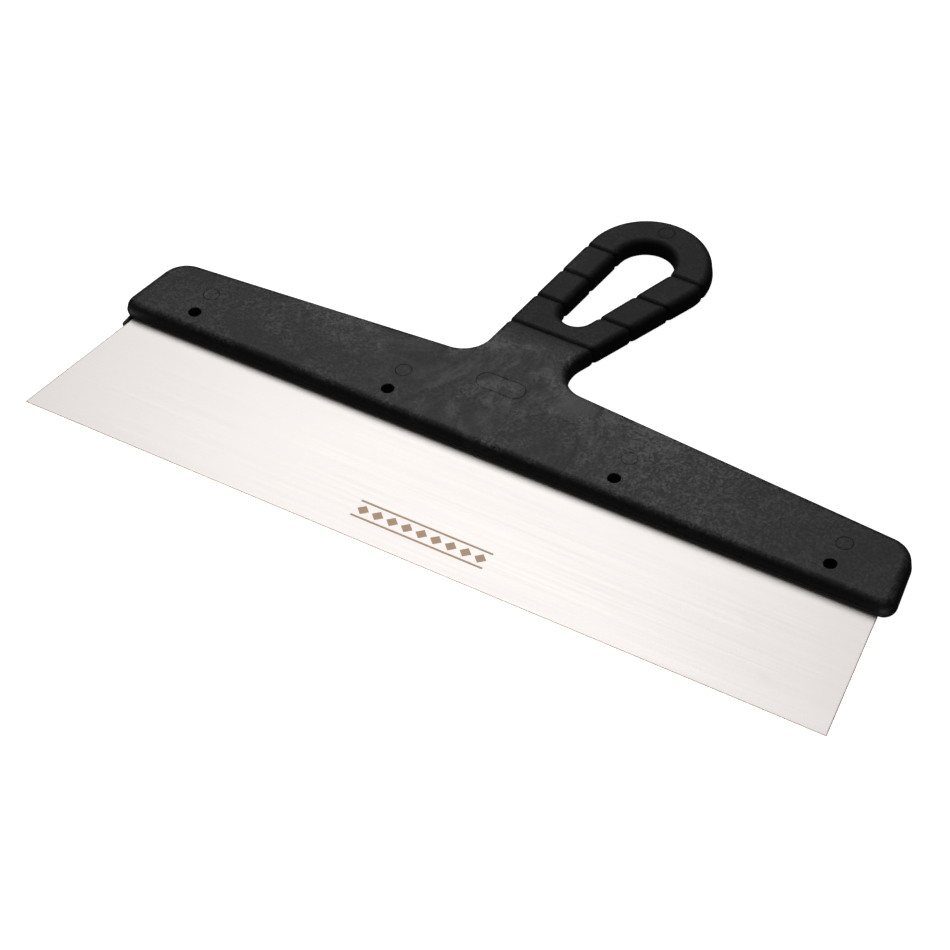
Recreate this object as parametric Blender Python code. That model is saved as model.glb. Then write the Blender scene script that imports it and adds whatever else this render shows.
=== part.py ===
"""Drywall taping knife, 350 mm: a stainless blade held in a one-piece moulded loop handle.

Frame: X runs along the blade's width, -Y points to the blade's tip, +Y to the end of the loop, +Z up.
The origin is under the middle of the bounding box, on the plane that the underside rests on.
Plan sizes are written in millimetres from the line of the four pin holes and the blade's middle.
"""
import math

import bmesh
import bpy

MM = 0.001

# Blade: thin sheet, slightly wider at its tip than where it leaves the rail.
BLADE_TIP_WIDTH = 350.0
BLADE_RAIL_WIDTH = 331.0
BLADE_THICKNESS = 0.5
BLADE_TIP_Y = -69.2
BLADE_ROOT_Y = 14.0
BLADE_BOTTOM_Z = 2.0
BLADE_CORNER_R = 0.3

# Handle moulding: rail, neck and loop, all one thickness.
HANDLE_HEIGHT = 9.2
TOP_ROUND = 3.0
BOTTOM_ROUND = 2.9
FRONT_ROUND = 4.4
FULL_ROUND_END_Y = 26.0
WALL_DRAFT = 0.25
ROUND_STEPS = 4

RAIL_FRONT_Y = -9.7
RAIL_HALF_FRONT = 171.8
RAIL_HALF_BACK = 165.2
RAIL_BACK_Y = 23.9
RAIL_NECK_Y = 34.8
FRONT_CORNER_R = 5.5
BACK_CORNER_R = 12.0

# Neck and loop stand a little to the left of the blade's middle and lean back towards it.
NECK_LEFT_X = -32.3
NECK_RIGHT_X = 5.7
NECK_BEND_Y = 49.0
NECK_BEND_R = 14.0
NECK_FILLET_R = 11.8
LOOP_CENTRE = (1.7, 112.7)
LOOP_R = 26.9
LOOP_RIGHT_LEAN = 15.4
LOOP_LEFT_LEAN = 4.6

FINGER_FAR_CENTRE = (1.0, 113.2)
FINGER_FAR_R = 11.7
FINGER_NEAR_CENTRE = (-7.6, 73.7)
FINGER_NEAR_R = 6.7

# Grip grooves that ring the neck and both arms.
GROOVE_FIRST_Y = 57.8
GROOVE_PITCH = 17.8
GROOVE_COUNT = 4
GROOVE_WIDTH = 1.3
GROOVE_DEPTH = 0.8

# Pin holes, and the posts of plastic that lock the blade's root.
PIN_HOLE_X = (-141.2, -50.4, 50.4, 141.2)
PIN_HOLE_R = 2.6
ANCHOR_X = (-118.0, -73.0, -27.0, 27.0, 73.0, 118.0)
ANCHOR_Y = 5.0
ANCHOR_R = 3.0

# Ribbed stub left by the mould at the rail's left end, just under the blade.
STUB_X = -166.8
STUB_WIDTH = 3.0
STUB_REACH = 4.2
STUB_IN_RAIL = 4.0
STUB_CORNER_R = 1.2
STUB_ROOT_CORNER_R = 0.2
STUB_BOTTOM_Z = 0.7
STUB_VALLEY_WIDTH = 0.7
STUB_VALLEY_DEPTH = 0.5
STUB_VALLEY_END = 0.5

# Clearance between the two pieces, and how far each cutting shape reaches past what it cuts.
GAP = 0.3
OVERRUN = 2.0
GROOVE_HALF_SPAN = 60.0

# Straight steps along each rounded outline, and the edge angle above which shading breaks.
CORNER_STEPS = 7
FILLET_STEPS = 9
BEND_STEPS = 4
LOOP_RIGHT_STEPS = 18
LOOP_LEFT_STEPS = 14
FINGER_FAR_STEPS = 22
FINGER_NEAR_STEPS = 12
SMALL_CORNER_STEPS = 3
ROUND_HOLE_STEPS = 24
SHARP_ANGLE = 35.0

# Display colours, with roughness and metallic share.
STEEL = ((0.74, 0.73, 0.71), 0.28, 1.0)
PLASTIC = ((0.035, 0.035, 0.037), 0.55, 0.0)

MERGE_DISTANCE = 1e-7
MID_Y = (BLADE_TIP_Y + LOOP_CENTRE[1] + LOOP_R) / 2


def clear_scene():
    for obj in list(bpy.data.objects):
        bpy.data.objects.remove(obj, do_unlink=True)


def material(name, colour, roughness, metallic):
    mat = bpy.data.materials.new(name)
    mat.use_nodes = True
    shader = mat.node_tree.nodes["Principled BSDF"]
    shader.inputs["Base Color"].default_value = (*colour, 1.0)
    shader.inputs["Roughness"].default_value = roughness
    shader.inputs["Metallic"].default_value = metallic
    return mat


def arc(centre, radius, start, end, steps):
    """Points on a circle from one angle to another, in degrees."""
    angles = [math.radians(start + (end - start) * i / steps) for i in range(steps + 1)]
    return [(centre[0] + radius * math.cos(a), centre[1] + radius * math.sin(a)) for a in angles]


def fillet(before, corner, after, radius, steps):
    """Points that round one corner of an outline."""
    ux, uy = before[0] - corner[0], before[1] - corner[1]
    vx, vy = after[0] - corner[0], after[1] - corner[1]
    lu, lv = math.hypot(ux, uy), math.hypot(vx, vy)
    ux, uy, vx, vy = ux / lu, uy / lu, vx / lv, vy / lv
    half = math.acos(max(-1.0, min(1.0, ux * vx + uy * vy))) / 2
    bx, by = ux + vx, uy + vy
    lb = math.hypot(bx, by)
    reach = radius / math.sin(half)
    cx, cy = corner[0] + bx / lb * reach, corner[1] + by / lb * reach
    run = radius / math.tan(half)
    first = math.atan2(corner[1] + uy * run - cy, corner[0] + ux * run - cx)
    last = math.atan2(corner[1] + vy * run - cy, corner[0] + vx * run - cx)
    turn = (last - first + math.pi) % (2 * math.pi) - math.pi
    angles = [first + turn * i / steps for i in range(steps + 1)]
    return [(cx + radius * math.cos(a), cy + radius * math.sin(a)) for a in angles]


def outline(items):
    """A closed outline from arcs (lists of points) and corners (x, y, radius, steps)."""
    ends = [(item[0], item[-1]) if isinstance(item, list) else (item[:2], item[:2]) for item in items]
    points = []
    for i, item in enumerate(items):
        if isinstance(item, list):
            points += item
        else:
            before, after = ends[i - 1][1], ends[(i + 1) % len(items)][0]
            points += fillet(before, item[:2], after, item[2], item[3])
    return points


def offset(points, distances):
    """The outline moved inwards (its points run anticlockwise) by each point's own distance."""
    moved = []
    count = len(points)
    for i, ((x, y), distance) in enumerate(zip(points, distances)):
        (ax, ay), (bx, by) = points[i - 1], points[(i + 1) % count]
        n1 = (ay - y, x - ax)
        n2 = (y - by, bx - x)
        l1, l2 = math.hypot(*n1), math.hypot(*n2)
        nx, ny = n1[0] / l1 + n2[0] / l2, n1[1] / l1 + n2[1] / l2
        scale = 2 * distance / (nx * nx + ny * ny)
        moved.append((x + nx * scale, y + ny * scale))
    return moved


def handle_outline():
    """Outer edge of the moulding, anticlockwise from its front left corner."""
    loop = arc(LOOP_CENTRE, LOOP_R, -LOOP_RIGHT_LEAN, 90, LOOP_RIGHT_STEPS)
    loop += arc(LOOP_CENTRE, LOOP_R, 90, 180 - LOOP_LEFT_LEAN, LOOP_LEFT_STEPS)[1:]
    return outline([
        (-RAIL_HALF_FRONT, RAIL_FRONT_Y, FRONT_CORNER_R, CORNER_STEPS),
        (RAIL_HALF_FRONT, RAIL_FRONT_Y, FRONT_CORNER_R, CORNER_STEPS),
        (RAIL_HALF_BACK, RAIL_BACK_Y, BACK_CORNER_R, FILLET_STEPS),
        (NECK_RIGHT_X, RAIL_NECK_Y, NECK_FILLET_R, FILLET_STEPS),
        (NECK_RIGHT_X, NECK_BEND_Y, NECK_BEND_R, BEND_STEPS),
        loop,
        (NECK_LEFT_X, RAIL_NECK_Y, NECK_FILLET_R, FILLET_STEPS),
        (-RAIL_HALF_BACK, RAIL_BACK_Y, BACK_CORNER_R, FILLET_STEPS),
    ])


def finger_outline():
    """Edge of the finger hole, anticlockwise: two circles and the straight lines that touch both."""
    run = FINGER_FAR_CENTRE[0] - FINGER_NEAR_CENTRE[0], FINGER_FAR_CENTRE[1] - FINGER_NEAR_CENTRE[1]
    axis = math.degrees(math.atan2(run[1], run[0]))
    spread = math.degrees(math.acos((FINGER_NEAR_R - FINGER_FAR_R) / math.hypot(*run)))
    far = arc(FINGER_FAR_CENTRE, FINGER_FAR_R, axis - spread, axis + spread, FINGER_FAR_STEPS)
    near = arc(
        FINGER_NEAR_CENTRE, FINGER_NEAR_R, axis + spread, axis + 360 - spread, FINGER_NEAR_STEPS
    )
    return far + near


def edge_radius(y, radius):
    """The rail's front edge is fully rounded, and changes to the common radius along the rail's ends."""
    share = (FULL_ROUND_END_Y - y) / (FULL_ROUND_END_Y - RAIL_FRONT_Y)
    share = min(1.0, max(0.0, share))
    return radius + (FRONT_ROUND - radius) * share


def edge_profile(y, shrink):
    """Pairs (height, inset) up the wall at one place: lower round, drafted wall, upper round."""
    levels = []
    low, high = edge_radius(y, BOTTOM_ROUND), edge_radius(y, TOP_ROUND)
    for i in range(ROUND_STEPS + 1):
        a = math.pi / 2 * i / ROUND_STEPS
        levels.append((low - (low - shrink) * math.cos(a), shrink + (low - shrink) * (1 - math.sin(a))))
    for i in range(ROUND_STEPS + 1):
        a = math.pi / 2 * i / ROUND_STEPS
        height = HANDLE_HEIGHT - high + (high - shrink) * math.sin(a)
        levels.append((height, shrink + WALL_DRAFT + (high - shrink) * (1 - math.cos(a))))
    return levels


def edge_loops(points, side, shrink):
    """Loops of (x, y, z) up the rounded wall on an outline; the side is -1 on the finger hole's."""
    profiles = [edge_profile(y, shrink) for x, y in points]
    loops = []
    for level in range(len(profiles[0])):
        moved = offset(points, [side * profile[level][1] for profile in profiles])
        loops.append([(x, y, profile[level][0]) for (x, y), profile in zip(moved, profiles)])
    return loops


def add_object(name, bm, mat=None):
    bmesh.ops.remove_doubles(bm, verts=bm.verts, dist=MERGE_DISTANCE)
    bmesh.ops.recalc_face_normals(bm, faces=bm.faces)
    mesh = bpy.data.meshes.new(name)
    bm.to_mesh(mesh)
    bm.free()
    obj = bpy.data.objects.new(name, mesh)
    bpy.context.scene.collection.objects.link(obj)
    if mat:
        mesh.materials.append(mat)
    return obj


def ring(bm, loop):
    return [bm.verts.new((x * MM, (y - MID_Y) * MM, z * MM)) for x, y, z in loop]


def walls(bm, loops):
    """Quads between successive loops of the same number of points."""
    for low, high in zip(loops, loops[1:]):
        count = len(low)
        for i in range(count):
            j = (i + 1) % count
            bm.faces.new((low[i], low[j], high[j], high[i]))


def cap(bm, loops):
    """One flat face between an outer loop and the holes inside it."""
    edges = []
    for loop in loops:
        count = len(loop)
        edges += [bm.edges.get((loop[i], loop[(i + 1) % count])) for i in range(count)]
    bmesh.ops.triangle_fill(bm, use_beauty=True, use_dissolve=False, edges=edges)


def moulding(name, shrink=0.0, mat=None):
    """The handle's body with rounded edges; shrink makes the smaller copy used for the grooves."""
    bm = bmesh.new()
    outer_loops = [ring(bm, loop) for loop in edge_loops(handle_outline(), 1, shrink)]
    inner_loops = [ring(bm, loop) for loop in edge_loops(finger_outline(), -1, shrink)]
    walls(bm, outer_loops)
    walls(bm, inner_loops)
    cap(bm, [outer_loops[0], inner_loops[0]])
    cap(bm, [outer_loops[-1], inner_loops[-1]])
    return add_object(name, bm, mat)


def prism(name, points, low, high, mat=None):
    bm = bmesh.new()
    loops = [ring(bm, [(x, y, z) for x, y in points]) for z in (low, high)]
    walls(bm, loops)
    bm.faces.new(loops[0])
    bm.faces.new(loops[1])
    return add_object(name, bm, mat)


def rectangle(x0, x1, y0, y1):
    return [(x0, y0), (x1, y0), (x1, y1), (x0, y1)]


def blade_outline(grow=0.0):
    """Trapezoid from the tip to the root; its sides keep one slope all the way."""
    slope = (BLADE_TIP_WIDTH - BLADE_RAIL_WIDTH) / 2 / (RAIL_FRONT_Y - BLADE_TIP_Y)
    half_root = BLADE_TIP_WIDTH / 2 - slope * (BLADE_ROOT_Y - BLADE_TIP_Y)
    half_tip = BLADE_TIP_WIDTH / 2
    corner = (BLADE_CORNER_R, SMALL_CORNER_STEPS)
    return outline([
        (-half_tip - grow, BLADE_TIP_Y - grow, *corner),
        (half_tip + grow, BLADE_TIP_Y - grow, *corner),
        (half_root + grow, BLADE_ROOT_Y + grow, *corner),
        (-half_root - grow, BLADE_ROOT_Y + grow, *corner),
    ])


def cutter(obj):
    obj.hide_render = True
    obj.display_type = "WIRE"
    return obj


def apply_boolean(target, tool, operation):
    mod = target.modifiers.new("boolean", "BOOLEAN")
    mod.operation = operation
    mod.solver = "EXACT"
    mod.object = tool
    depsgraph = bpy.context.evaluated_depsgraph_get()
    mesh = bpy.data.meshes.new_from_object(target.evaluated_get(depsgraph))
    target.modifiers.remove(mod)
    target.data = mesh
    bpy.data.objects.remove(tool, do_unlink=True)


def round_cutter(name, x, y, radius, low, high):
    """A round bar that reaches past both of the heights it has to cut."""
    points = arc((x, y), radius, 0, 360 * (ROUND_HOLE_STEPS - 1) / ROUND_HOLE_STEPS, ROUND_HOLE_STEPS - 1)
    return cutter(prism(name, points, low - OVERRUN, high + OVERRUN))


def make_blade(mat):
    low, high = BLADE_BOTTOM_Z, BLADE_BOTTOM_Z + BLADE_THICKNESS
    blade = prism("blade", blade_outline(), low, high, mat)
    rounds = [(x, 0.0, PIN_HOLE_R) for x in PIN_HOLE_X]
    rounds += [(x, ANCHOR_Y, ANCHOR_R + GAP) for x in ANCHOR_X]
    for x, y, radius in rounds:
        apply_boolean(blade, round_cutter("hole", x, y, radius, low, high), "DIFFERENCE")
    return blade


def make_slot():
    """The space that the blade's root fills, with the anchor posts left standing in it."""
    low, high = BLADE_BOTTOM_Z - GAP, BLADE_BOTTOM_Z + BLADE_THICKNESS + GAP
    slot = prism("slot", blade_outline(GAP), low, high)
    for x in ANCHOR_X:
        post = round_cutter("post", x, ANCHOR_Y, ANCHOR_R, low, high)
        apply_boolean(slot, post, "DIFFERENCE")
    return cutter(slot)


def make_grooves():
    """Rings around the neck and arms: slabs with a smaller copy of the handle taken out."""
    tools = []
    half = GROOVE_WIDTH / 2
    for i in range(GROOVE_COUNT):
        y = GROOVE_FIRST_Y + i * GROOVE_PITCH
        across = rectangle(-GROOVE_HALF_SPAN, GROOVE_HALF_SPAN, y - half, y + half)
        slab = prism("groove", across, -OVERRUN, HANDLE_HEIGHT + OVERRUN)
        apply_boolean(slab, cutter(moulding("groove_core", GROOVE_DEPTH)), "DIFFERENCE")
        tools.append(cutter(slab))
    return tools


def make_stub():
    """Short tab in front of the rail's left end, with a valley that leaves a rib on each side."""
    front, back = RAIL_FRONT_Y - STUB_REACH, RAIL_FRONT_Y + STUB_IN_RAIL
    left, right = STUB_X - STUB_WIDTH / 2, STUB_X + STUB_WIDTH / 2
    top = BLADE_BOTTOM_Z - GAP
    body = outline([
        (left, front, STUB_CORNER_R, SMALL_CORNER_STEPS),
        (right, front, STUB_CORNER_R, SMALL_CORNER_STEPS),
        (right, back, STUB_ROOT_CORNER_R, SMALL_CORNER_STEPS),
        (left, back, STUB_ROOT_CORNER_R, SMALL_CORNER_STEPS),
    ])
    stub = prism("stub", body, STUB_BOTTOM_Z, top)
    half = STUB_VALLEY_WIDTH / 2
    floor = rectangle(STUB_X - half, STUB_X + half, front - OVERRUN, RAIL_FRONT_Y - STUB_VALLEY_END)
    valley = prism("valley", floor, top - STUB_VALLEY_DEPTH, top + OVERRUN)
    apply_boolean(stub, cutter(valley), "DIFFERENCE")
    return cutter(stub)


def make_handle(mat):
    handle = moulding("handle", 0.0, mat)
    apply_boolean(handle, make_stub(), "UNION")
    apply_boolean(handle, make_slot(), "DIFFERENCE")
    for tool in make_grooves():
        apply_boolean(handle, tool, "DIFFERENCE")
    for x in PIN_HOLE_X:
        pin_hole = round_cutter("pin_hole", x, 0.0, PIN_HOLE_R, 0.0, HANDLE_HEIGHT)
        apply_boolean(handle, pin_hole, "DIFFERENCE")
    handle.data.shade_smooth()
    handle.data.set_sharp_from_angle(angle=math.radians(SHARP_ANGLE))
    return handle


def main():
    clear_scene()
    make_blade(material("brushed_steel", *STEEL))
    make_handle(material("charcoal_plastic", *PLASTIC))


main()
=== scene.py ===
"""Looks of the 350 mm drywall taping knife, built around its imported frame.

Plan sizes are in millimetres from the line of the four pin holes and the blade's middle, as in the
frame's own design; heights are in millimetres above the plane that the underside rests on.
"""
import math

import bmesh
import bpy
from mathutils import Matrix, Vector


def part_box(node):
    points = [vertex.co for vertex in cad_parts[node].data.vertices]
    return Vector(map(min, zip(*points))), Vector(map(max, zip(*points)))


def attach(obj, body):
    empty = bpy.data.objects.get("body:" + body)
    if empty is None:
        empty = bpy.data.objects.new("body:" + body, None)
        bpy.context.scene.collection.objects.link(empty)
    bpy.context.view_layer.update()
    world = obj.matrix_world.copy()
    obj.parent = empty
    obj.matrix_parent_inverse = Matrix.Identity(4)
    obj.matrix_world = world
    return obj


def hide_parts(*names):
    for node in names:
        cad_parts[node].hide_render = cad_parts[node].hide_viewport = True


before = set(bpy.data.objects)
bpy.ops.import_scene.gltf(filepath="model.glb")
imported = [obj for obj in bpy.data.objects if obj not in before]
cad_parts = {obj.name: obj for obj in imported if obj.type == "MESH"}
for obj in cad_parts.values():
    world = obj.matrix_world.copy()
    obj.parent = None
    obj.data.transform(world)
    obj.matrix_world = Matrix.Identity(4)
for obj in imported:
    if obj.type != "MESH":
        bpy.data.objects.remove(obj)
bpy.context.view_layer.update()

MM = 0.001

# The frame's measures.
HANDLE_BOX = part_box("handle")
BLADE_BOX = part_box("blade")
HANDLE_HEIGHT = (HANDLE_BOX[1].z - HANDLE_BOX[0].z) / MM
BLADE_BOTTOM_Z = BLADE_BOX[0].z / MM
BLADE_TOP_Z = BLADE_BOX[1].z / MM

# Handle outline.
RAIL_FRONT_Y = -9.7
RAIL_HALF_FRONT = 171.8
RAIL_HALF_BACK = 165.2
RAIL_BACK_Y = 23.9
RAIL_NECK_Y = 34.8
FRONT_CORNER_R = 5.5
BACK_CORNER_R = 12.0
NECK_LEFT_X = -32.3
NECK_RIGHT_X = 5.7
NECK_BEND_Y = 49.0
NECK_BEND_R = 14.0
NECK_FILLET_R = 11.8
LOOP_CENTRE = (1.7, 112.7)
LOOP_R = 26.9
LOOP_RIGHT_LEAN = 15.4
LOOP_LEFT_LEAN = 4.6
FINGER_FAR_CENTRE = (1.0, 113.2)
FINGER_FAR_R = 11.7
FINGER_NEAR_CENTRE = (-7.6, 73.7)
FINGER_NEAR_R = 6.7

# How many straight runs each curve of the outline is made of.
FRONT_CORNER_STEPS = 16
BACK_CORNER_STEPS = 22
NECK_FILLET_STEPS = 24
NECK_BEND_STEPS = 8
LOOP_RIGHT_STEPS = 44
LOOP_LEFT_STEPS = 36
FINGER_FAR_STEPS = 44
FINGER_NEAR_STEPS = 28
CIRCLE_STEPS = 40

# The frame's origin, measured from the line of the pin holes.
MID_Y = LOOP_CENTRE[1] + LOOP_R - HANDLE_BOX[1].y / MM

# Handle edges. The round is fullest along the rail's front, and is back to the common one at this Y; the
# rim is a narrow flat ring inside the round, which keeps the shading of the faces level.
TOP_ROUND = 3.0
BOTTOM_ROUND = 2.9
FRONT_ROUND = 4.4
FULL_ROUND_END_Y = 26.0
WALL_DRAFT = 0.25
RIM = 0.35
ROUND_STEPS = 9

# Grip grooves: a V with rounded shoulders around the neck and both arms. The cuts are the distances from
# a groove's middle at which the surface is divided before it is sunk.
GROOVE_FIRST_Y = 57.8
GROOVE_PITCH = 17.8
GROOVE_COUNT = 4
GROOVE_DEPTH = 1.2
GROOVE_HALF_WIDTH = 2.0
GROOVE_POWER = 2.2
GROOVE_CUTS = (0.0, 0.12, 0.25, 0.4, 0.6, 0.85, 1.1, 1.4, 1.7, 2.0)

# Pin holes, whose worn rims are pairs (flare, depth), and the mould marks of the upper face.
PIN_HOLE_X = (-141.2, -50.4, 50.4, 141.2)
PIN_HOLE_R = 2.6
PIN_RIM = ((0.3, 0.0), (0.1, 0.06), (0.0, 0.28))
MARK_R = 3.25
MARK_Y = 11.8
MARK_LINE = 0.2
MARK_DEPTH = 0.16
LOOP_MARK = (0.7, 131.9)

# Blank size panel moulded on the neck's root.
PANEL_CENTRE = (-12.6, 22.6)
PANEL_SIZE = (21.0, 8.6)
PANEL_CORNER_R = 4.1
PANEL_CORNER_STEPS = 16
PANEL_LINE = 0.22
PANEL_DEPTH = 0.16

# Ribbed stub at the rail's left end.
STUB_X = -166.8
STUB_WIDTH = 3.0
STUB_REACH = 4.2
STUB_BOTTOM_Z = 0.7
STUB_TOP_Z = 1.95
STUB_IN_RAIL = 4.0
STUB_CORNER_R = 1.3
STUB_EDGE = 0.2
STUB_VALLEY_OFFSET = (0.1, 2.0)
STUB_VALLEY_SIZE = (0.6, 5.0)
STUB_VALLEY_CORNER_R = 0.28
STUB_VALLEY_CORNER_STEPS = 6
STUB_VALLEY_DEPTH = 0.55

# Blade.
BLADE_TIP_WIDTH = 350.0
BLADE_RAIL_WIDTH = 331.0
BLADE_TIP_Y = -69.2
BLADE_ROOT_Y = 14.0
BLADE_CORNER_R = 0.3
BLADE_CORNER_STEPS = 5
BLADE_EDGE = 0.06
SLOT_GAP = 0.06

# How far a cutter reaches past what it cuts.
OVERRUN = 1.0

# Shading: edges sharper than these angles, in degrees, stay crisp, and large faces outweigh small ones.
HANDLE_SHARP_ANGLE = 32
BLADE_SHARP_ANGLE = 60
FACE_WEIGHT = 80

# Tolerances in metres, for joining points and for cutting across them.
MERGE_DISTANCE = 1e-7
CUT_DISTANCE = 1e-8


def arc(centre, radius, start, end, steps):
    """Points on a circle from one angle to another, in degrees."""
    angles = [math.radians(start + (end - start) * i / steps) for i in range(steps + 1)]
    return [(centre[0] + radius * math.cos(a), centre[1] + radius * math.sin(a)) for a in angles]


def circle(centre, radius):
    return arc(centre, radius, 0, 360 * (CIRCLE_STEPS - 1) / CIRCLE_STEPS, CIRCLE_STEPS - 1)


def fillet(before, corner, after, radius, steps):
    """Points that round one corner of an outline."""
    u = (Vector(before) - Vector(corner)).normalized()
    v = (Vector(after) - Vector(corner)).normalized()
    half = u.angle(v) / 2
    centre = Vector(corner) + (u + v).normalized() * (radius / math.sin(half))
    first = Vector(corner) + u * (radius / math.tan(half)) - centre
    last = Vector(corner) + v * (radius / math.tan(half)) - centre
    start = math.atan2(first.y, first.x)
    turn = (math.atan2(last.y, last.x) - start + math.pi) % (2 * math.pi) - math.pi
    return arc(centre, radius, math.degrees(start), math.degrees(start + turn), steps)


def outline(items):
    """A closed outline from arcs (lists of points) and corners (x, y, radius, steps)."""
    ends = [(item[0], item[-1]) if isinstance(item, list) else (item[:2], item[:2]) for item in items]
    points = []
    for i, item in enumerate(items):
        if isinstance(item, list):
            points += item
        else:
            points += fillet(ends[i - 1][1], item[:2], ends[(i + 1) % len(items)][0], item[2], item[3])
    return points


def offset(points, distances):
    """The outline moved inwards (its points run anticlockwise) by one distance, or one for each point."""
    moved = []
    if not isinstance(distances, list):
        distances = [distances] * len(points)
    for i, ((x, y), distance) in enumerate(zip(points, distances)):
        (ax, ay), (bx, by) = points[i - 1], points[(i + 1) % len(points)]
        one = Vector((ay - y, x - ax)).normalized()
        two = Vector((y - by, bx - x)).normalized()
        both = one + two
        moved.append((x + both.x * 2 * distance / both.length_squared,
                      y + both.y * 2 * distance / both.length_squared))
    return moved


def handle_outline():
    """Anticlockwise from the rail's front left corner."""
    loop = arc(LOOP_CENTRE, LOOP_R, -LOOP_RIGHT_LEAN, 90, LOOP_RIGHT_STEPS)
    loop += arc(LOOP_CENTRE, LOOP_R, 90, 180 - LOOP_LEFT_LEAN, LOOP_LEFT_STEPS)[1:]
    return outline([
        (-RAIL_HALF_FRONT, RAIL_FRONT_Y, FRONT_CORNER_R, FRONT_CORNER_STEPS),
        (RAIL_HALF_FRONT, RAIL_FRONT_Y, FRONT_CORNER_R, FRONT_CORNER_STEPS),
        (RAIL_HALF_BACK, RAIL_BACK_Y, BACK_CORNER_R, BACK_CORNER_STEPS),
        (NECK_RIGHT_X, RAIL_NECK_Y, NECK_FILLET_R, NECK_FILLET_STEPS),
        (NECK_RIGHT_X, NECK_BEND_Y, NECK_BEND_R, NECK_BEND_STEPS),
        loop,
        (NECK_LEFT_X, RAIL_NECK_Y, NECK_FILLET_R, NECK_FILLET_STEPS),
        (-RAIL_HALF_BACK, RAIL_BACK_Y, BACK_CORNER_R, BACK_CORNER_STEPS),
    ])


def finger_outline():
    """Two circles and the straight lines that touch both."""
    run = Vector(FINGER_FAR_CENTRE) - Vector(FINGER_NEAR_CENTRE)
    axis = math.degrees(math.atan2(run.y, run.x))
    spread = math.degrees(math.acos((FINGER_NEAR_R - FINGER_FAR_R) / run.length))
    far = arc(FINGER_FAR_CENTRE, FINGER_FAR_R, axis - spread, axis + spread, FINGER_FAR_STEPS)
    near = arc(FINGER_NEAR_CENTRE, FINGER_NEAR_R, axis + spread, axis + 360 - spread, FINGER_NEAR_STEPS)
    return far + near


def blade_slope():
    """How much each side of the blade closes in for each unit towards the root."""
    return (BLADE_TIP_WIDTH - BLADE_RAIL_WIDTH) / 2 / (RAIL_FRONT_Y - BLADE_TIP_Y)


def blade_outline(grow=0.0):
    half_tip = BLADE_TIP_WIDTH / 2 + grow
    half_root = half_tip - blade_slope() * (BLADE_ROOT_Y - BLADE_TIP_Y)
    corners = [(-half_tip, BLADE_TIP_Y - grow), (half_tip, BLADE_TIP_Y - grow),
               (half_root, BLADE_ROOT_Y + grow), (-half_root, BLADE_ROOT_Y + grow)]
    return outline([(x, y, BLADE_CORNER_R, BLADE_CORNER_STEPS) for x, y in corners])


def rounded_box(centre, size, radius, steps=10):
    x0, x1 = centre[0] - size[0] / 2, centre[0] + size[0] / 2
    y0, y1 = centre[1] - size[1] / 2, centre[1] + size[1] / 2
    return outline([(x0, y0, radius, steps), (x1, y0, radius, steps),
                    (x1, y1, radius, steps), (x0, y1, radius, steps)])


def frame_y(y):
    """A plan distance from the line of the pin holes, as the frame's own Y in metres."""
    return (y - MID_Y) * MM


def ring(bm, points, z):
    return [bm.verts.new((x * MM, frame_y(y), z * MM)) for x, y in points]


def walls(bm, loops):
    for low, high in zip(loops, loops[1:]):
        for i in range(len(low)):
            j = (i + 1) % len(low)
            bm.faces.new((low[i], low[j], high[j], high[i]))


def cap(bm, loops):
    edges = []
    for loop in loops:
        edges += [bm.edges.get((loop[i - 1], loop[i])) or bm.edges.new((loop[i - 1], loop[i]))
                  for i in range(len(loop))]
    bmesh.ops.triangle_fill(bm, use_beauty=True, use_dissolve=False, edges=edges)


def add_object(name, bm):
    bmesh.ops.remove_doubles(bm, verts=bm.verts, dist=MERGE_DISTANCE)
    bmesh.ops.recalc_face_normals(bm, faces=bm.faces)
    mesh = bpy.data.meshes.new(name)
    bm.to_mesh(mesh)
    bm.free()
    obj = bpy.data.objects.new(name, mesh)
    bpy.context.scene.collection.objects.link(obj)
    return obj


def edge_radius(y, radius):
    """The rail's front edge is fully rounded, and changes to the common radius along the rail's ends."""
    share = (FULL_ROUND_END_Y - y) / (FULL_ROUND_END_Y - RAIL_FRONT_Y)
    return radius + (FRONT_ROUND - radius) * min(1.0, max(0.0, share))


def edge_profile(y):
    """Pairs (height, inset) up the wall at one place: rim, lower round, drafted wall, upper round, rim."""
    low, high = edge_radius(y, BOTTOM_ROUND), edge_radius(y, TOP_ROUND)
    levels = [(0.0, low + RIM)]
    for i in range(ROUND_STEPS + 1):
        a = math.pi / 2 * i / ROUND_STEPS
        levels.append((low * (1 - math.cos(a)), low * (1 - math.sin(a))))
    for i in range(ROUND_STEPS + 1):
        a = math.pi / 2 * i / ROUND_STEPS
        levels.append((HANDLE_HEIGHT - high * (1 - math.sin(a)), WALL_DRAFT + high * (1 - math.cos(a))))
    levels.append((HANDLE_HEIGHT, WALL_DRAFT + high + RIM))
    return levels


def edge_rings(bm, points, side):
    """Rings up the rounded wall on an outline; the side is -1 on the finger hole's."""
    profiles = [edge_profile(y) for x, y in points]
    rings = []
    for level in range(len(profiles[0])):
        moved = offset(points, [side * profile[level][1] for profile in profiles])
        rings.append([bm.verts.new((x * MM, frame_y(y), profile[level][0] * MM))
                      for (x, y), profile in zip(moved, profiles)])
    return rings


def line_groove(bm, points, line, depth):
    """A fine moulded line along an outline in the upper face; returns its outer and inner loops."""
    outer = ring(bm, offset(points, -line), HANDLE_HEIGHT)
    middle = ring(bm, points, HANDLE_HEIGHT - depth)
    inner = ring(bm, offset(points, line), HANDLE_HEIGHT)
    walls(bm, [outer, middle, inner])
    return outer, inner


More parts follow.
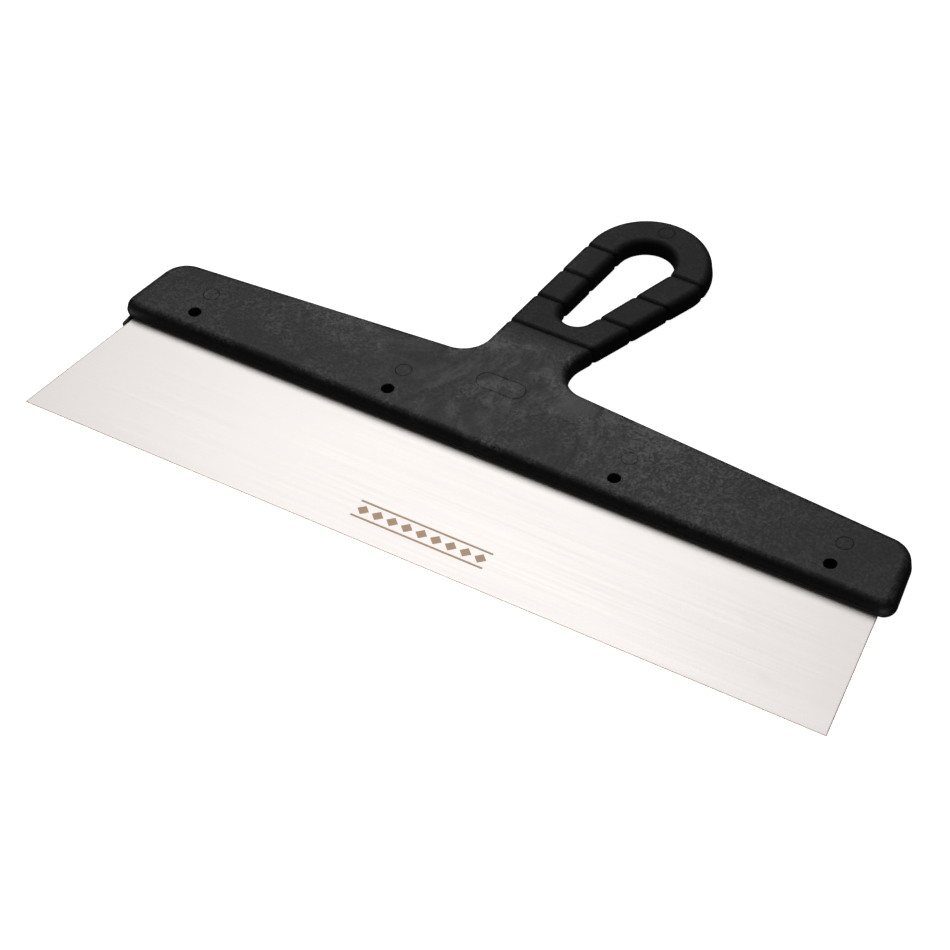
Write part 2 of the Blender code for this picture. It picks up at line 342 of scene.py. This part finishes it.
def pin_hole(bm, x):
    """A through hole with a slightly worn rim; returns its upper and lower loops."""
    top = [(PIN_HOLE_R + flare, HANDLE_HEIGHT - depth) for flare, depth in PIN_RIM]
    bottom = [(PIN_HOLE_R + flare, depth) for flare, depth in reversed(PIN_RIM)]
    loops = [ring(bm, circle((x, 0.0), radius), z) for radius, z in top + bottom]
    walls(bm, loops)
    return loops[0], loops[-1]


def groove_depth(y):
    """How far the surface sinks at a distance y from a groove's middle."""
    share = min(1.0, abs(y) / GROOVE_HALF_WIDTH)
    return GROOVE_DEPTH * (1 - share) ** GROOVE_POWER


def sink_grooves(bm):
    """Cuts edge lines across the solid beside each groove, then moves the surface in along its normal."""
    for k in range(GROOVE_COUNT):
        middle = GROOVE_FIRST_Y + k * GROOVE_PITCH
        for cut in sorted({side * c for c in GROOVE_CUTS for side in (-1, 1)}):
            plane = Vector((0, frame_y(middle + cut), 0))
            geometry = bm.verts[:] + bm.edges[:] + bm.faces[:]
            bmesh.ops.bisect_plane(bm, geom=geometry, dist=CUT_DISTANCE, plane_co=plane, plane_no=(0, 1, 0))
    bmesh.ops.remove_doubles(bm, verts=bm.verts, dist=MERGE_DISTANCE)
    bmesh.ops.recalc_face_normals(bm, faces=bm.faces)
    bm.normal_update()
    for vert in bm.verts:
        y = vert.co.y / MM + MID_Y
        near = min(range(GROOVE_COUNT), key=lambda k: abs(y - GROOVE_FIRST_Y - k * GROOVE_PITCH))
        depth = groove_depth(y - GROOVE_FIRST_Y - near * GROOVE_PITCH)
        if depth > 0:
            vert.co -= vert.normal * depth * MM


def apply_boolean(target, tool, operation):
    mod = target.modifiers.new("boolean", "BOOLEAN")
    mod.operation = operation
    mod.solver = "EXACT"
    mod.object = tool
    depsgraph = bpy.context.evaluated_depsgraph_get()
    mesh = bpy.data.meshes.new_from_object(target.evaluated_get(depsgraph))
    target.modifiers.remove(mod)
    target.data = mesh
    bpy.data.objects.remove(tool, do_unlink=True)


def prism(name, points, low, high, edge=0.0):
    """A flat plate with its edges eased by a small bevel."""
    bm = bmesh.new()
    if edge:
        levels = [(low, edge), (low + edge, 0.0), (high - edge, 0.0), (high, edge)]
    else:
        levels = [(low, 0.0), (high, 0.0)]
    loops = [ring(bm, offset(points, inset), z) for z, inset in levels]
    walls(bm, loops)
    cap(bm, [loops[0]])
    cap(bm, [loops[-1]])
    return add_object(name, bm)


def make_stub():
    """Tab with two ribs and a valley between them, rounded at its front."""
    y0, y1 = RAIL_FRONT_Y - STUB_REACH, RAIL_FRONT_Y + STUB_IN_RAIL
    body = rounded_box((STUB_X, (y0 + y1) / 2), (STUB_WIDTH, y1 - y0), STUB_CORNER_R)
    stub = prism("stub", body, STUB_BOTTOM_Z, STUB_TOP_Z, STUB_EDGE)
    centre = (STUB_X + STUB_VALLEY_OFFSET[0], y0 + STUB_VALLEY_OFFSET[1])
    valley = rounded_box(centre, STUB_VALLEY_SIZE, STUB_VALLEY_CORNER_R, STUB_VALLEY_CORNER_STEPS)
    cutter = prism("valley", valley, STUB_TOP_Z - STUB_VALLEY_DEPTH, STUB_TOP_Z + OVERRUN)
    apply_boolean(stub, cutter, "DIFFERENCE")
    return stub


def finish_shading(obj, angle):
    obj.data.shade_smooth()
    obj.data.set_sharp_from_angle(angle=math.radians(angle))
    mod = obj.modifiers.new("weighted_normals", "WEIGHTED_NORMAL")
    mod.keep_sharp = True
    mod.weight = FACE_WEIGHT


def make_handle():
    bm = bmesh.new()
    outer_loops = edge_rings(bm, handle_outline(), 1)
    inner_loops = edge_rings(bm, finger_outline(), -1)
    walls(bm, outer_loops)
    walls(bm, inner_loops)
    top, bottom = [outer_loops[-1], inner_loops[-1]], [outer_loops[0], inner_loops[0]]
    for x in PIN_HOLE_X:
        upper, lower = pin_hole(bm, x)
        top.append(upper)
        bottom.append(lower)
    lines = [(circle((x, MARK_Y), MARK_R), MARK_LINE, MARK_DEPTH) for x in PIN_HOLE_X]
    lines.append((circle(LOOP_MARK, MARK_R), MARK_LINE, MARK_DEPTH))
    panel = rounded_box(PANEL_CENTRE, PANEL_SIZE, PANEL_CORNER_R, PANEL_CORNER_STEPS)
    lines.append((panel, PANEL_LINE, PANEL_DEPTH))
    for points, line, depth in lines:
        rim, core = line_groove(bm, points, line, depth)
        top.append(rim)
        cap(bm, [core])
    cap(bm, top)
    cap(bm, bottom)
    sink_grooves(bm)
    handle = add_object("handle_moulding", bm)
    apply_boolean(handle, make_stub(), "UNION")
    slot = prism("slot", blade_outline(SLOT_GAP), BLADE_BOTTOM_Z - SLOT_GAP, BLADE_TOP_Z + SLOT_GAP)
    apply_boolean(handle, slot, "DIFFERENCE")
    finish_shading(handle, HANDLE_SHARP_ANGLE)
    return handle


def make_blade():
    blade = prism("blade_sheet", blade_outline(), BLADE_BOTTOM_Z, BLADE_TOP_Z, BLADE_EDGE)
    for x in PIN_HOLE_X:
        hole = prism("hole", circle((x, 0.0), PIN_HOLE_R), BLADE_BOTTOM_Z - OVERRUN, BLADE_TOP_Z + OVERRUN)
        apply_boolean(blade, hole, "DIFFERENCE")
    finish_shading(blade, BLADE_SHARP_ANGLE)
    return blade


class Nodes:
    """Short names for adding and joining shader nodes; distances in a shader are in metres."""

    def __init__(self, name):
        self.mat = bpy.data.materials.new(name)
        self.mat.use_nodes = True
        self.tree = self.mat.node_tree
        self.shader = self.tree.nodes["Principled BSDF"]
        self.place = self.add("ShaderNodeTexCoord").outputs["Object"]

    def add(self, kind, **settings):
        node = self.tree.nodes.new(kind)
        for key, value in settings.items():
            setattr(node, key, value)
        return node

    def join(self, source, target):
        """Links a socket to another, or sets the second to a plain number or colour."""
        if hasattr(source, "links"):
            self.tree.links.new(source, target)
        else:
            target.default_value = source

    def set(self, **values):
        """Plain values on the shader's own sockets; an underscore in a name stands for a space."""
        for name, value in values.items():
            self.shader.inputs[name.replace("_", " ")].default_value = value

    def axes(self):
        node = self.add("ShaderNodeSeparateXYZ")
        self.join(self.place, node.inputs["Vector"])
        return node.outputs["X"], node.outputs["Y"], node.outputs["Z"]

    def mapped(self, scale=(1, 1, 1), shift=(0, 0, 0)):
        node = self.add("ShaderNodeMapping")
        self.join(self.place, node.inputs["Vector"])
        node.inputs["Scale"].default_value = scale
        node.inputs["Location"].default_value = shift
        return node.outputs["Vector"]

    def noise(self, vector, scale, detail, rough=0.5, distortion=0.0):
        node = self.add("ShaderNodeTexNoise")
        self.join(vector, node.inputs["Vector"])
        node.inputs["Scale"].default_value = scale
        node.inputs["Detail"].default_value = detail
        node.inputs["Roughness"].default_value = rough
        node.inputs["Distortion"].default_value = distortion
        return node.outputs["Fac"]

    def rings(self, vector, scale, distortion, detail, detail_scale, detail_rough):
        """Round bands about the vector's Z axis, bent by noise."""
        node = self.add("ShaderNodeTexWave", wave_type="RINGS", rings_direction="Z")
        self.join(vector, node.inputs["Vector"])
        node.inputs["Scale"].default_value = scale
        node.inputs["Distortion"].default_value = distortion
        node.inputs["Detail"].default_value = detail
        node.inputs["Detail Scale"].default_value = detail_scale
        node.inputs["Detail Roughness"].default_value = detail_rough
        return node.outputs["Fac"]

    def spread(self, value, low=0.0, high=1.0, to_low=0.0, to_high=1.0):
        """A smooth change from one value to another while the input goes from low to high."""
        node = self.add("ShaderNodeMapRange", interpolation_type="SMOOTHSTEP")
        self.join(value, node.inputs["Value"])
        for key, number in zip(("From Min", "From Max", "To Min", "To Max"), (low, high, to_low, to_high)):
            node.inputs[key].default_value = number
        return node.outputs["Result"]

    def maths(self, operation, a, b=0.0):
        node = self.add("ShaderNodeMath", operation=operation)
        self.join(a, node.inputs[0])
        self.join(b, node.inputs[1])
        return node.outputs["Value"]

    def plus(self, a, b):
        return self.maths("ADD", a, b)

    def minus(self, a, b):
        return self.maths("SUBTRACT", a, b)

    def times(self, first, *others):
        for other in others:
            first = self.maths("MULTIPLY", first, other)
        return first

    def far(self, a, b):
        """The length of a plan vector."""
        return self.maths("SQRT", self.plus(self.times(a, a), self.times(b, b)))

    def blend(self, share, a, b):
        node = self.add("ShaderNodeMix", data_type="RGBA")
        first, second = [socket for socket in node.inputs if socket.type == "RGBA"]
        self.join(share, node.inputs["Factor"])
        self.join(a, first)
        self.join(b, second)
        return [socket for socket in node.outputs if socket.type == "RGBA"][0]

    def bump(self, height, distance, strength, normal=None):
        node = self.add("ShaderNodeBump")
        node.inputs["Strength"].default_value = strength
        node.inputs["Distance"].default_value = distance
        self.join(height, node.inputs["Height"])
        if normal:
            self.join(normal, node.inputs["Normal"])
        return node.outputs["Normal"]


# Plastic colours: the darkest skin and the lightest melt.
PLASTIC_DARK = (0.0085, 0.0080, 0.0083, 1.0)
PLASTIC_LIGHT = (0.200, 0.191, 0.197, 1.0)

# Where the colour darkens: towards the loop (Y, none to full rail), and down the walls as painted shade (drop
# from a face).
LOOP_DARKER_Y = (62.0, 44.0)
LOOP_DARKER_SHARE = 0.28
WALL_SHADE_DROP = (1.5, 0.02)
WALL_SHADE_SHARE = 0.12

# Streaks fan out of the gate and die out along the rail; noise bends them sideways.
GATE = (-12.0, 84.0)
STREAK_BEND = 40.0
STREAKS_PER_RADIAN = 13.0
STREAKS_PER_METRE = 55.0
STREAK_REACH = (120.0, 65.0)

# Grit: how much sand and curd it holds, and how it gathers in patches away from the rail's ends.
SAND_SHARE = 0.55
CURD_SHARE = 0.45
GRIT_EVERYWHERE = 0.34
GRIT_IN_PATCHES = 0.66
GRIT_MIDDLE_X = -12.0
GRIT_REACH = (160.0, 50.0)
GRIT_AT_ENDS = 0.05
GRIT_AT_MIDDLE = 1.3

# Bands of melt that sweep around the neck's root, and the dark throat above them.
SWEEP_CENTRE = (-4.0, 8.0)
SWEEP_REACH = (62.0, 26.0)
THROAT_Y = (36.0, 52.0)
THROAT_DARKENS = 0.6
SWEEP_LIGHTNESS = (0.62, 1.35)

# The patch of smooth light melt beside the right fillet.
LIGHT_PATCH = (18.0, 27.5)
LIGHT_PATCH_R = 11.5
LIGHT_PATCH_CORE = 0.25
LIGHT_PATCH_BEND = 6.0
LIGHT_PATCH_SMOOTHS = 0.6
LIGHT_PATCH_LIGHTENS = 0.50

# The oval front where two flows met: calmer and darker inside, with ripples and a fine dark rim.
FRONT_OVAL = (16.0, -3.0)
FRONT_OVAL_SIZE = (16.0, 23.0)
FRONT_OVAL_WAVE = 0.5
FRONT_OVAL_CALMS = 0.70
FRONT_OVAL_DARKENS = 0.35
RIPPLES_PER_RADIUS = 34.0
RIPPLE_SHARE = 0.06
RIM_DARKENS = 0.20

FLOW_SHARE = 0.50
BASE_LIGHTNESS = 0.02
LIGHT_MELT_ROUGHENS = 0.16


def melt_streaks(n, x, y, bend):
    """Streaks in polar coordinates around the gate."""
    sideways = n.times(bend, STREAK_BEND * MM)
    dx = n.minus(n.plus(x, sideways), (GATE[0] + STREAK_BEND / 2) * MM)
    dy = n.minus(y, frame_y(GATE[1]))
    reach = n.far(dx, dy)
    polar = n.add("ShaderNodeCombineXYZ")
    n.join(n.times(n.maths("ARCTAN2", dy, dx), STREAKS_PER_RADIAN), polar.inputs["X"])
    n.join(n.times(reach, STREAKS_PER_METRE), polar.inputs["Y"])
    lines = n.noise(polar.outputs["Vector"], scale=1.0, detail=6, rough=0.62, distortion=0.9)
    fan = n.spread(reach, low=STREAK_REACH[0] * MM, high=STREAK_REACH[1] * MM)
    return n.times(n.spread(lines, low=0.36, high=0.68), fan)


def melt_grit(n, x):
    """Sandy specks, stronger in drawn-out patches."""
    patches = n.noise(n.mapped(scale=(1, 1.5, 1)), scale=30, detail=3, rough=0.6, distortion=0.5)
    patches = n.spread(patches, low=0.36, high=0.66)
    sand = n.spread(n.noise(n.place, scale=900, detail=3, rough=0.7), low=0.44, high=0.64)
    curd = n.spread(n.noise(n.place, scale=300, detail=4, rough=0.65, distortion=1.5), low=0.44, high=0.66)
    from_middle = n.maths("ABSOLUTE", n.minus(x, GRIT_MIDDLE_X * MM))
    along = n.spread(from_middle, low=GRIT_REACH[0] * MM, high=GRIT_REACH[1] * MM,
                     to_low=GRIT_AT_ENDS, to_high=GRIT_AT_MIDDLE)
    specks = n.plus(n.times(sand, SAND_SHARE), n.times(curd, CURD_SHARE))
    return n.times(specks, n.plus(GRIT_EVERYWHERE, n.times(patches, along, GRIT_IN_PATCHES)))


def melt_sweep(n, x, y):
    """Lighter and darker bands, clouds of them further out, and a dark throat: a factor for the lightness."""
    centred = n.mapped(shift=(-SWEEP_CENTRE[0] * MM, -frame_y(SWEEP_CENTRE[1]), 0))
    bands = n.rings(centred, scale=26, distortion=5.5, detail=4, detail_scale=1.3, detail_rough=0.6)
    clouds = n.spread(n.noise(n.place, scale=26, detail=3, distortion=0.8), low=0.35, high=0.65)
    from_centre = n.maths("ABSOLUTE", n.minus(x, SWEEP_CENTRE[0] * MM))
    near = n.spread(from_centre, low=SWEEP_REACH[0] * MM, high=SWEEP_REACH[1] * MM)
    sweep = n.blend(near, clouds, n.times(bands, n.spread(clouds, to_low=0.55, to_high=1.1)))
    throat = n.spread(y, low=frame_y(THROAT_Y[0]), high=frame_y(THROAT_Y[1]))
    sweep = n.times(sweep, n.minus(1.0, n.times(throat, THROAT_DARKENS)))
    return n.spread(sweep, to_low=SWEEP_LIGHTNESS[0], to_high=SWEEP_LIGHTNESS[1])


def light_patch(n, x, y, bend):
    sideways = n.times(bend, LIGHT_PATCH_BEND * MM)
    dx = n.minus(n.plus(x, sideways), (LIGHT_PATCH[0] + LIGHT_PATCH_BEND / 2) * MM)
    dy = n.minus(y, frame_y(LIGHT_PATCH[1]))
    return n.spread(n.far(dx, dy), low=LIGHT_PATCH_R * MM, high=LIGHT_PATCH_R * MM * LIGHT_PATCH_CORE)


def flow_front(n, x, y):
    """How far a point is inside the oval front, how near to its rim, and the ripples within."""
    dx = n.maths("DIVIDE", n.minus(x, FRONT_OVAL[0] * MM), FRONT_OVAL_SIZE[0] * MM)
    dy = n.maths("DIVIDE", n.minus(y, frame_y(FRONT_OVAL[1])), FRONT_OVAL_SIZE[1] * MM)
    wave = n.times(n.noise(n.place, scale=70, detail=3), FRONT_OVAL_WAVE)
    oval = n.plus(n.far(dx, dy), n.minus(wave, FRONT_OVAL_WAVE / 2))
    inside = n.spread(oval, low=1.04, high=0.96)
    rim = n.times(n.spread(oval, low=0.93, high=0.99), n.spread(oval, low=1.05, high=0.99))
    ripples = n.spread(n.maths("SINE", n.times(oval, RIPPLES_PER_RADIUS)), low=-0.2, high=1.0)
    return inside, rim, ripples


def plastic_material():
    n = Nodes("charcoal_plastic")
    x, y, z = n.axes()
    bend = n.noise(n.place, scale=34, detail=2)

    # The loop is darker and more even than the rail and neck; the walls carry painted shade, darker than the
    # faces.
    rail = n.spread(y, low=frame_y(LOOP_DARKER_Y[0]), high=frame_y(LOOP_DARKER_Y[1]))
    half = HANDLE_HEIGHT / 2
    from_middle = n.maths("ABSOLUTE", n.minus(z, half * MM))
    painted_wall_shade = n.spread(from_middle, low=(half - WALL_SHADE_DROP[0]) * MM, high=(half - WALL_SHADE_DROP[1]) * MM,
                    to_low=WALL_SHADE_SHARE, to_high=1.0)
    loop_tone_and_shade = n.times(n.plus(LOOP_DARKER_SHARE, n.times(rail, 1 - LOOP_DARKER_SHARE)), painted_wall_shade)

    # How light the melt is, from 0 to about 1.
    inside, rim, ripples = flow_front(n, x, y)
    patch = light_patch(n, x, y, bend)
    calm = n.minus(1.0, n.times(inside, FRONT_OVAL_CALMS))
    flow = n.times(melt_streaks(n, x, y, bend), calm, rail)
    lightness = n.times(n.plus(melt_grit(n, x), n.times(flow, FLOW_SHARE)), melt_sweep(n, x, y))
    smoothed = n.plus(n.times(patch, LIGHT_PATCH_SMOOTHS), n.times(inside, FRONT_OVAL_DARKENS))
    lightness = n.times(lightness, n.minus(1.0, smoothed))
    lightness = n.plus(lightness, n.times(patch, LIGHT_PATCH_LIGHTENS))
    lightness = n.plus(lightness, n.times(ripples, inside, RIPPLE_SHARE))
    lightness = n.minus(n.plus(lightness, BASE_LIGHTNESS), n.times(rim, RIM_DARKENS))
    # Darker towards the loop, and painted shade on the walls.
    lightness = n.times(n.maths("MAXIMUM", lightness, 0.0), loop_tone_and_shade)
    n.join(n.blend(lightness, PLASTIC_DARK, PLASTIC_LIGHT), n.shader.inputs["Base Color"])

    rough = n.spread(rail, to_low=0.60, to_high=0.50)
    n.join(n.plus(rough, n.times(lightness, LIGHT_MELT_ROUGHENS)), n.shader.inputs["Roughness"])
    n.set(Specular_IOR_Level=0.32)

    texture = n.noise(n.place, scale=1900, detail=2, rough=0.6)
    normal = n.bump(texture, distance=0.00006, strength=0.55)
    normal = n.bump(lightness, distance=0.00003, strength=0.5, normal=normal)
    normal = n.bump(bend, distance=0.0006, strength=0.06, normal=normal)
    n.join(normal, n.shader.inputs["Normal"])
    return n.mat


# Steel colours.
STEEL_DARK = (0.860, 0.822, 0.800, 1.0)
STEEL_LIGHT = (0.940, 0.902, 0.880, 1.0)
STEEL_STAIN = (0.860, 0.840, 0.740, 1.0)
STEEL_BROWNED = (0.520, 0.420, 0.320, 1.0)

# Brushing runs across the blade's width; shares add up to the steel's lightness.
BRUSH_SHARE = 0.6
CLOUD_SHARE = 0.4
STAIN_SHARE = 0.35

# Sheared edges, browned over a width on the sides, and over half as much along the tip.
BROWNED_WIDTH = 0.55
BROWNED_FULL = 0.5
BROWNED_SHARE = 0.8
TIP_NARROWS = 2.0

STEEL_ROUGHNESS = 0.48
BRUSHING_ROUGHENS = 0.08
STAIN_ROUGHENS = 0.05


def edge_browning(n):
    x, y = n.axes()[:2]
    slope = blade_slope()
    half_at_origin = BLADE_TIP_WIDTH / 2 - slope * (MID_Y - BLADE_TIP_Y)
    half = n.minus(half_at_origin * MM, n.times(y, slope))
    from_side = n.minus(half, n.maths("ABSOLUTE", x))
    from_tip = n.minus(y, frame_y(BLADE_TIP_Y))
    from_edge = n.maths("MINIMUM", from_side, n.times(from_tip, TIP_NARROWS))
    return n.spread(from_edge, low=BROWNED_WIDTH * MM, high=BROWNED_WIDTH * MM * BROWNED_FULL)


def steel_material():
    n = Nodes("blade_steel")
    brush = n.noise(n.mapped(scale=(4, 900, 900)), scale=3.0, detail=5, rough=0.65)
    clouds = n.noise(n.mapped(scale=(6, 22, 22)), scale=1.4, detail=3)
    fine = n.noise(n.mapped(scale=(14, 2600, 2600)), scale=2.0, detail=3, rough=0.6)
    brushing = n.times(n.spread(brush, low=0.3, high=0.7), BRUSH_SHARE)
    brushing = n.plus(brushing, n.times(clouds, CLOUD_SHARE))
    stain = n.spread(n.noise(n.place, scale=19, detail=4, rough=0.6, distortion=0.4), low=0.60, high=0.80)

    colour = n.blend(brushing, STEEL_DARK, STEEL_LIGHT)
    colour = n.blend(n.times(stain, STAIN_SHARE), colour, STEEL_STAIN)
    colour = n.blend(n.times(edge_browning(n), BROWNED_SHARE), colour, STEEL_BROWNED)
    n.join(colour, n.shader.inputs["Base Color"])

    n.set(Metallic=1.0)
    rough = n.plus(STEEL_ROUGHNESS, n.times(brushing, BRUSHING_ROUGHENS))
    n.join(n.plus(rough, n.times(stain, STAIN_ROUGHENS)), n.shader.inputs["Roughness"])
    n.join(n.bump(fine, distance=0.00001, strength=0.5), n.shader.inputs["Normal"])
    return n.mat


ETCH_DARK = (0.50, 0.36, 0.25, 1.0)
ETCH_LIGHT = (0.60, 0.45, 0.33, 1.0)


def etch_material():
    n = Nodes("etched_brown")
    grain = n.noise(n.place, scale=1400, detail=3, rough=0.6)
    colour = n.blend(n.spread(grain, low=0.35, high=0.65), ETCH_DARK, ETCH_LIGHT)
    n.join(colour, n.shader.inputs["Base Color"])
    n.set(Metallic=1.0)
    n.join(n.spread(grain, to_low=0.5, to_high=0.7), n.shader.inputs["Roughness"])
    return n.mat


FLOOR_DARK = (0.74, 0.74, 0.74, 1.0)
FLOOR_LIGHT = (0.80, 0.80, 0.80, 1.0)
FLOOR_GLOW = 1.0


def floor_material():
    n = Nodes("studio_floor")
    cloud = n.noise(n.place, scale=3.0, detail=2)
    n.join(n.blend(cloud, FLOOR_DARK, FLOOR_LIGHT), n.shader.inputs["Base Color"])
    n.set(Roughness=0.9, Specular_IOR_Level=0.1)
    n.set(Emission_Color=(1.0, 1.0, 1.0, 1.0), Emission_Strength=FLOOR_GLOW)
    return n.mat


# Etched mark: a plain band of diamonds between two rules, near the blade's tip.
ETCH_CENTRE = (-1.5, -55.0)
ETCH_LENGTH = 58.0
ETCH_RULE = 0.9
ETCH_HEIGHT = 9.0
ETCH_DIAMONDS = 9
ETCH_DIAMOND_LENGTH = 0.40
ETCH_DIAMOND_HEIGHT = 0.27
ETCH_LIFT = 0.02


def make_etch():
    """Thin plates let into the blade's upper face."""
    bm = bmesh.new()
    cx, cy = ETCH_CENTRE
    shapes = []
    for side in (-1, 1):
        y = cy + side * (ETCH_HEIGHT - ETCH_RULE) / 2
        x0, x1 = cx - ETCH_LENGTH / 2, cx + ETCH_LENGTH / 2
        y0, y1 = y - ETCH_RULE / 2, y + ETCH_RULE / 2
        shapes.append([(x0, y0), (x1, y0), (x1, y1), (x0, y1)])
    pitch = ETCH_LENGTH / ETCH_DIAMONDS
    half_x, half_y = pitch * ETCH_DIAMOND_LENGTH, ETCH_HEIGHT * ETCH_DIAMOND_HEIGHT
    for i in range(ETCH_DIAMONDS):
        x = cx + (i - (ETCH_DIAMONDS - 1) / 2) * pitch
        shapes.append([(x - half_x, cy), (x, cy - half_y), (x + half_x, cy), (x, cy + half_y)])
    for points in shapes:
        loops = [ring(bm, points, z) for z in (BLADE_TOP_Z - ETCH_LIFT, BLADE_TOP_Z + ETCH_LIFT)]
        walls(bm, loops)
        for loop in loops:
            bm.faces.new(loop)
    return add_object("etched_mark", bm)


# White floor, half its width in metres, and the white card under the blade.
FLOOR_HALF = 4.0
FLOOR_DROP = 0.3
CARD_SIZE = (380.0, 74.0)
CARD_CENTRE_Y = -50.0
CARD_CORNER_R = 6.0
CARD_DROP = 0.15


def make_floor():
    """The floor glows but doesn't light the tool; the blade's bright edges mirror the card alone."""
    material = floor_material()
    bm = bmesh.new()
    bmesh.ops.create_grid(bm, x_segments=2, y_segments=2, size=FLOOR_HALF)
    floor = add_object("studio_floor", bm)
    floor.location.z = -FLOOR_DROP * MM
    floor.visible_diffuse = False
    floor.visible_glossy = False
    bm = bmesh.new()
    bm.faces.new(ring(bm, rounded_box((0.0, CARD_CENTRE_Y), CARD_SIZE, CARD_CORNER_R), -CARD_DROP))
    card = add_object("studio_card", bm)
    for thing in (floor, card):
        thing.data.materials.append(material)


# Studio light, as (name, place, target, size) in metres and a power in watts: a large softbox behind the
# tool, which the blade mirrors, two weak side lights and a weak front light.
LIGHTS = (
    ("softbox", (-0.43, 0.57, 1.20), (0.02, -0.05, 0.0), (0.62, 0.92), 6.55),
    ("left", (-1.5, 0.6, 0.9), (0.0, 0.0, 0.0), (0.9, 0.9), 0.8),
    ("right", (1.3, 0.9, 0.9), (0.0, 0.0, 0.0), (0.9, 0.9), 0.8),
    ("front", (0.20, -0.75, 1.45), (0.0, -0.02, 0.0), (1.1, 0.9), 1.6),
)
WORLD_STRENGTH = 0.03


def area_light(name, place, target, size, power):
    data = bpy.data.lights.new(name, "AREA")
    data.shape = "RECTANGLE"
    data.size, data.size_y = size
    data.energy = power
    light = bpy.data.objects.new(name, data)
    light.location = place
    aim = Vector(target) - Vector(place)
    light.rotation_euler = aim.to_track_quat("-Z", "Y").to_euler()
    bpy.context.scene.collection.objects.link(light)


def make_lights():
    for light in LIGHTS:
        area_light(*light)
    world = bpy.data.worlds.new("studio")
    world.use_nodes = True
    background = world.node_tree.nodes["Background"]
    background.inputs["Color"].default_value = (1, 1, 1, 1)
    background.inputs["Strength"].default_value = WORLD_STRENGTH
    bpy.context.scene.world = world
    # The plain transform keeps the contrast between black plastic and bright steel.
    bpy.context.scene.view_settings.view_transform = "Standard"


# Camera, in degrees and millimetres; the target lies on the plane of the rail's upper face.
CAMERA_AZIMUTH = 33.06
CAMERA_ELEVATION = 45.27
CAMERA_ROLL = -2.87
CAMERA_DISTANCE = 1277.9
CAMERA_TARGET = (3.7, -24.13)
CAMERA_LENS = 128.17
CAMERA_SENSOR = 36.0

# How far the camera sees, in metres.
CAMERA_REACH = 20.0


def make_camera():
    azimuth, elevation = math.radians(CAMERA_AZIMUTH), math.radians(CAMERA_ELEVATION)
    back = Vector((math.sin(azimuth) * math.cos(elevation), -math.cos(azimuth) * math.cos(elevation),
                   math.sin(elevation)))
    target = Vector((CAMERA_TARGET[0] * MM, frame_y(CAMERA_TARGET[1]), HANDLE_HEIGHT * MM))
    data = bpy.data.cameras.new("camera")
    data.sensor_width = CAMERA_SENSOR
    data.lens = CAMERA_LENS
    data.clip_end = CAMERA_REACH
    camera = bpy.data.objects.new("camera", data)
    camera.location = target + back * CAMERA_DISTANCE * MM
    camera.rotation_euler = (-back).to_track_quat("-Z", "Y").to_euler()
    camera.rotation_euler.rotate_axis("Z", math.radians(CAMERA_ROLL))
    bpy.context.scene.collection.objects.link(camera)
    bpy.context.scene.camera = camera


def place(piece, material, slot, *nodes):
    piece.data.materials.clear()
    piece.data.materials.append(material)
    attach(piece, "root")
    if nodes:
        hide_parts(*nodes)


place(make_handle(), plastic_material(), "matte_plastic", "handle")
place(make_blade(), steel_material(), "brushed_steel", "blade")
place(make_etch(), etch_material(), "brushed_steel")
make_floor()
make_lights()
make_camera()
